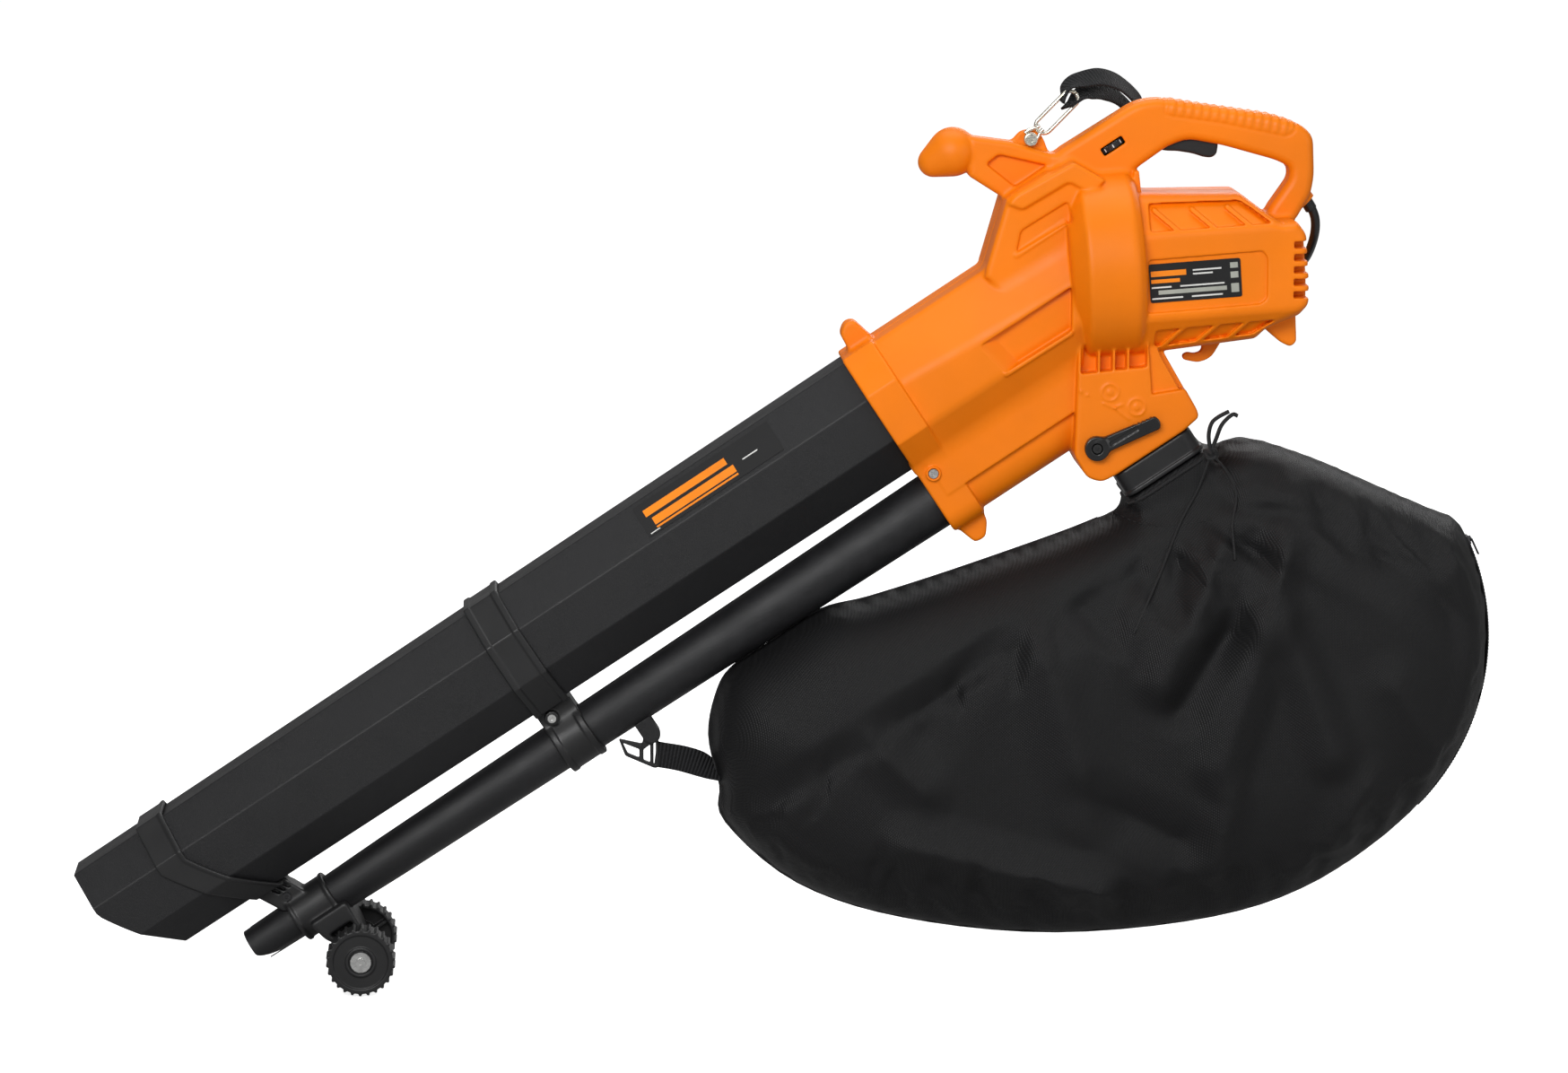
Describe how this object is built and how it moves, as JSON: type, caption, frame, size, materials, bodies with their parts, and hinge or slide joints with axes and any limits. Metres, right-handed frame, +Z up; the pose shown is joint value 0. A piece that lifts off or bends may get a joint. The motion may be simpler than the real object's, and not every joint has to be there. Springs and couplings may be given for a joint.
{
  "type": "leaf vacuum mulcher",
  "caption": "Hand-held electric leaf vacuum, blower and mulcher: sloping suction and blower tubes, orange fan and motor housing with loop handle, and a black collecting bag.",
  "frame": {"origin": "middle of the bounding box in plan, on the ground under the wheels", "axes": "+X to the rear where the motor is, +Y to the user's right, +Z up"},
  "size_m": [1.303, 0.2082, 0.8354],
  "materials": {
    "orange_housing": "satin moulded ABS, fine grain, orange",
    "black_tube": "black moulded tube with a fine spark texture",
    "black_moulding": "black moulded nylon, satin",
    "black_rubber": "black PVC cable and rubber boot",
    "webbing": "black woven polyester webbing",
    "bag_cloth": "black coarse woven polyester",
    "cord_and_zip": "black round cord and zip tape",
    "zinc": "zinc plated steel with a faint yellow tint",
    "steel": "plain steel",
    "copper_parts": "copper and brass motor parts",
    "label": null,
    "circuit_board": "green circuit board"
  },
  "bodies": {
    "machine": {"housing_left": "orange_housing", "housing_right": "orange_housing", "housing_screw_1": "steel", "housing_screw_2": "steel", "housing_screw_3": "steel", "housing_screw_4": "steel", "housing_screw_5": "steel", "suction_tube_upper": "black_tube", "suction_tube_lower": "black_tube", "blower_tube_upper": "black_tube", "blower_tube_lower": "black_tube", "tube_coupling": "black_tube", "coupling_screw": "steel", "collar_screw": "steel", "nozzle_bracket": "black_tube", "bracket_screw": "black_tube", "wheel_axle": "steel", "wheel_washer_left": "steel", "wheel_washer_right": "steel", "wheel_screw_left": "steel", "wheel_screw_right": "steel", "stator": "steel", "fan_back_plate": "black_moulding", "bearing_front": "steel", "bearing_rear": "steel", "brush_holder_upper": "copper_parts", "brush_holder_lower": "copper_parts", "trigger_pin": "steel", "power_switch": "black_moulding", "speed_board": "circuit_board", "rating_plate": "label", "tube_label": "label", "power_cable": "black_rubber", "cable_boot": "black_rubber", "mains_plug": "black_rubber", "strap_screw": "zinc", "strap_nut": "zinc"},
    "rotor": {"motor_shaft": "steel", "armature": "copper_parts", "commutator": "copper_parts", "impeller": "black_moulding", "mulching_blade": "steel", "blade_spacer": "steel", "impeller_nut": "steel"},
    "trigger": {"trigger": "black_moulding"},
    "speed_dial": {"speed_dial": "black_moulding"},
    "diverter": {"diverter_lever": "black_moulding", "diverter_flap": "black_moulding", "diverter_screw": "black_moulding"},
    "wheel_left": {"wheel_left": "black_moulding"},
    "wheel_right": {"wheel_right": "black_moulding"},
    "shoulder_strap": {"strap_link": "zinc", "shoulder_strap": "webbing"},
    "bag": {"bag_frame": "black_tube", "bag": "bag_cloth", "drawstring": "cord_and_zip", "bag_zip": "cord_and_zip", "bag_hook": "black_tube", "bag_strap": "webbing"},
    "zip_pull": {"zip_pull": "steel"}
  },
  "joints": [
    {"name": "fan_spin", "type": "hinge", "parent": "machine", "child": "rotor", "pos_m": [0.29362, -0.00484, 0.66109], "axis": [0.9976, 0, 0.0698], "continuous": true},
    {"name": "trigger_press", "type": "hinge", "parent": "machine", "child": "trigger", "pos_m": [0.34362, -0.00484, 0.77059], "axis": [0, -1, 0], "range_deg": [0, 10], "stiffness_Nm_per_rad": 0.8, "springref_deg": -5.73},
    {"name": "speed_dial_turn", "type": "hinge", "parent": "machine", "child": "speed_dial", "pos_m": [0.29502, -0.00924, 0.76909], "axis": [-0.5446, 0, 0.8387], "range_deg": [-240, 30]},
    {"name": "diverter_turn", "type": "hinge", "parent": "machine", "child": "diverter", "pos_m": [0.27912, -0.00484, 0.49779], "axis": [0, -1, 0], "range_deg": [0, 58]},
    {"name": "wheel_left_spin", "type": "hinge", "parent": "machine", "child": "wheel_left", "pos_m": [-0.39185, -0.05484, 0.032], "axis": [0, 1, 0], "continuous": true},
    {"name": "wheel_right_spin", "type": "hinge", "parent": "machine", "child": "wheel_right", "pos_m": [-0.39185, 0.04516, 0.032], "axis": [0, 1, 0], "continuous": true},
    {"name": "strap_swing", "type": "hinge", "parent": "machine", "child": "shoulder_strap", "pos_m": [0.22122, -0.01354, 0.77469], "axis": [0, -1, 0], "range_deg": [-2, 30], "stiffness_Nm_per_rad": 1.5, "springref_deg": 1.43},
    {"name": "bag_removal", "type": "slide", "parent": "machine", "child": "bag", "axis": [0.5476, 0, -0.8368], "range_m": [0, 0.06], "stiffness_N_per_m": 400, "springref_m": -0.05},
    {"name": "zip_travel", "type": "hinge", "parent": "bag", "child": "zip_pull", "pos_m": [0.42752, -0.00484, 0.30879], "axis": [0, 1, 0], "range_deg": [0, 70]}
  ]
}
